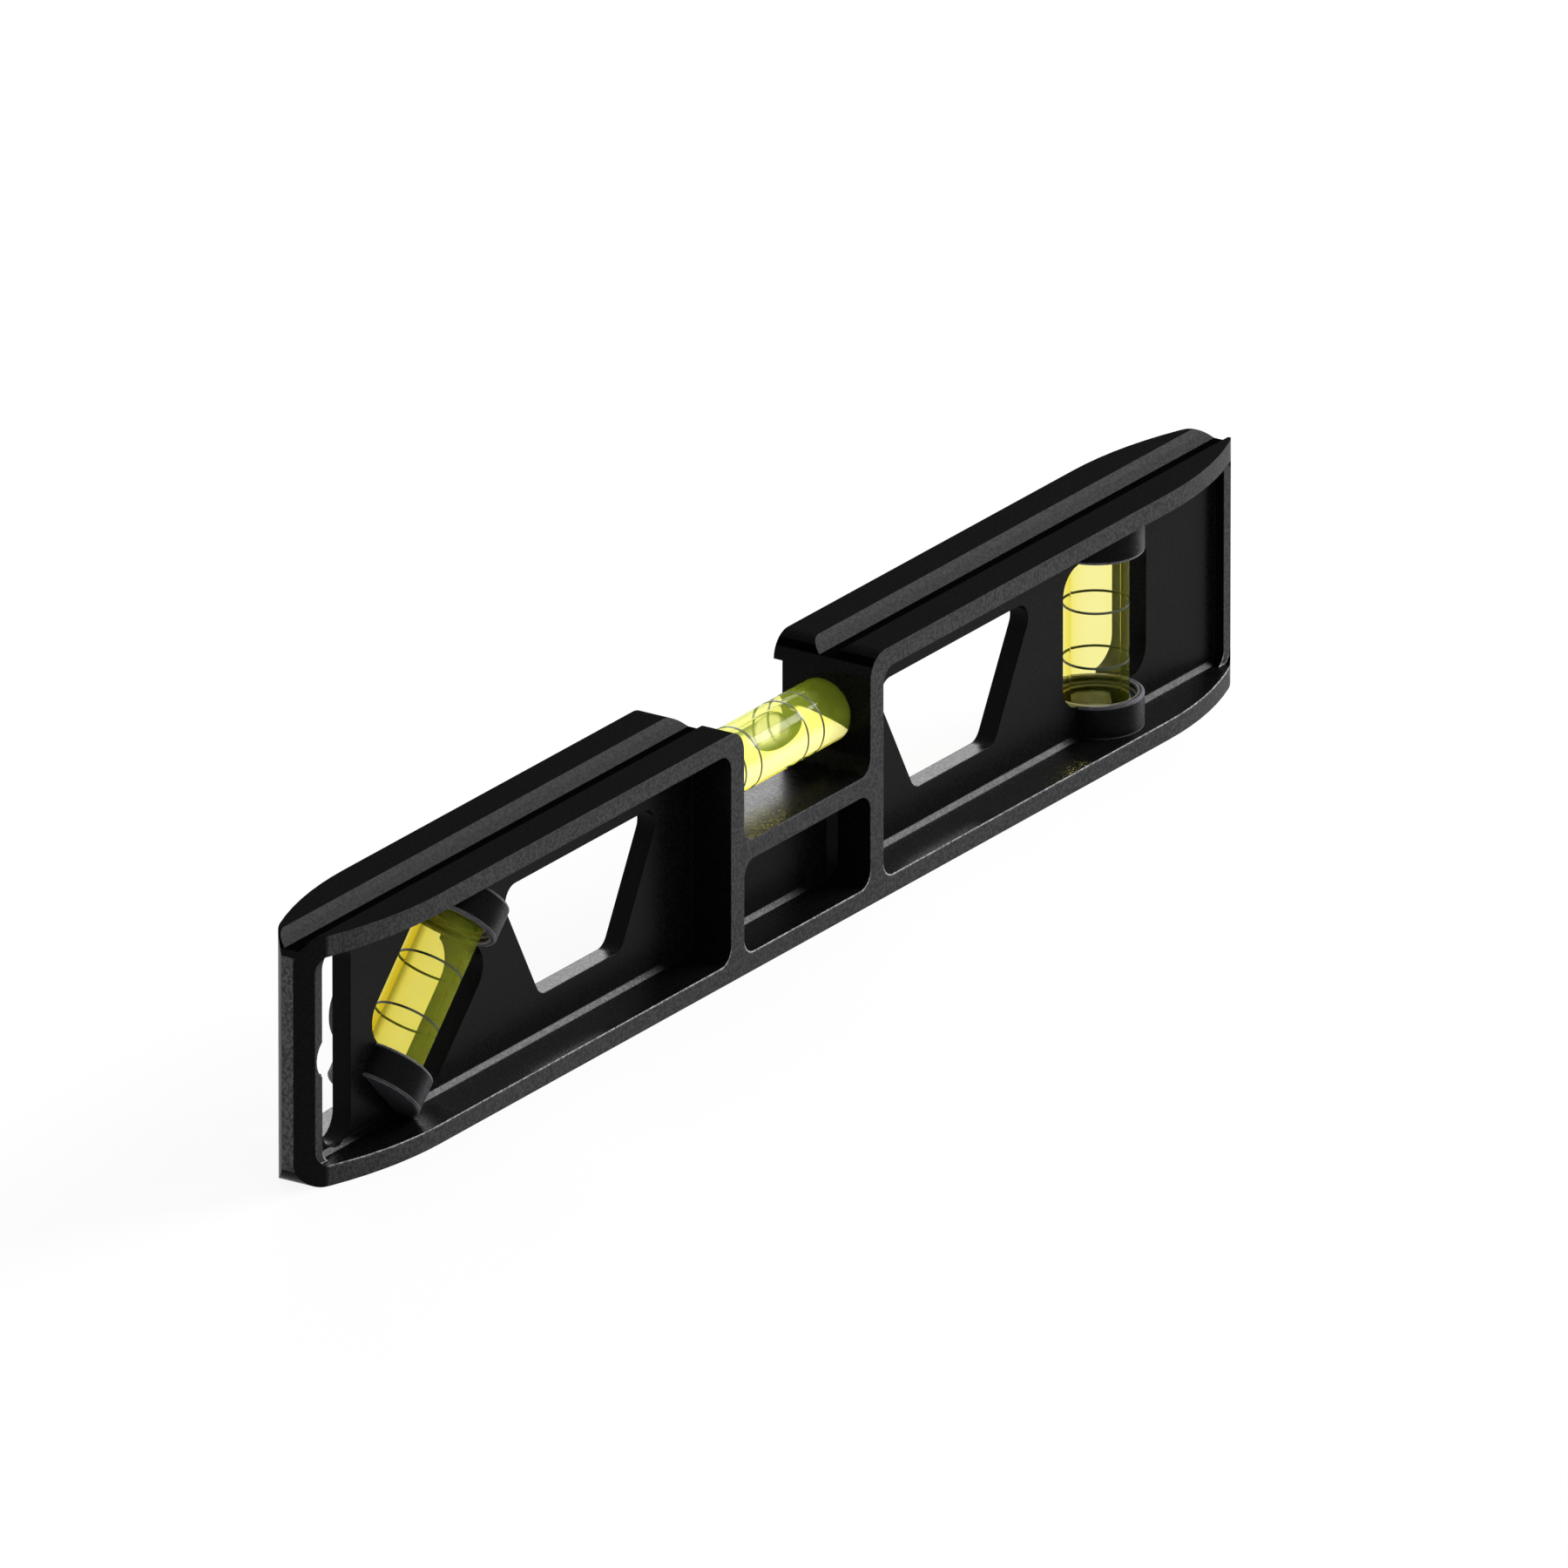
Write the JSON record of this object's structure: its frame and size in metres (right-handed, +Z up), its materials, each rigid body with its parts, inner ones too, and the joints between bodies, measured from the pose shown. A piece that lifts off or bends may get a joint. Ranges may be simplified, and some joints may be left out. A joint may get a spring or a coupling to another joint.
{
  "type": "pocket spirit level",
  "caption": "Pocket spirit level: slim black body with tapered ends, centre web with windows, hang slot, top groove and yellow level, plumb and 45 degree vials.",
  "frame": {"origin": "centre of the base's bounding rectangle, on the surface that the level stands on", "axes": "+X along the level towards the upright vial's end, +Y from the front to the back, +Z up"},
  "size_m": [0.2278, 0.0156, 0.0358],
  "materials": {
    "body_black": "fine grained moulded black, smoother on the top rails",
    "cup_black": "satin moulded black",
    "vial_clear": "polished clear acrylic",
    "vial_liquid": "clear yellow green liquid",
    "vial_ring": "dark green black line"
  },
  "bodies": {
    "root": {"body": "body_black", "level_barrel": "vial_clear", "level_plug": "vial_clear", "level_liquid": "vial_liquid", "level_ring_outer_left": "vial_ring", "level_ring_inner_left": "vial_ring", "level_ring_inner_right": "vial_ring", "level_ring_outer_right": "vial_ring", "plumb_barrel": "vial_clear", "plumb_plug": "vial_clear", "plumb_liquid": "vial_liquid", "plumb_ring_upper": "vial_ring", "plumb_ring_lower": "vial_ring", "plumb_cup_upper": "cup_black", "plumb_cup_lower": "cup_black", "angle_barrel": "vial_clear", "angle_plug": "vial_clear", "angle_liquid": "vial_liquid", "angle_ring_upper": "vial_ring", "angle_ring_lower": "vial_ring", "angle_cup_upper": "cup_black", "angle_cup_lower": "cup_black"}
  },
  "joints": []
}
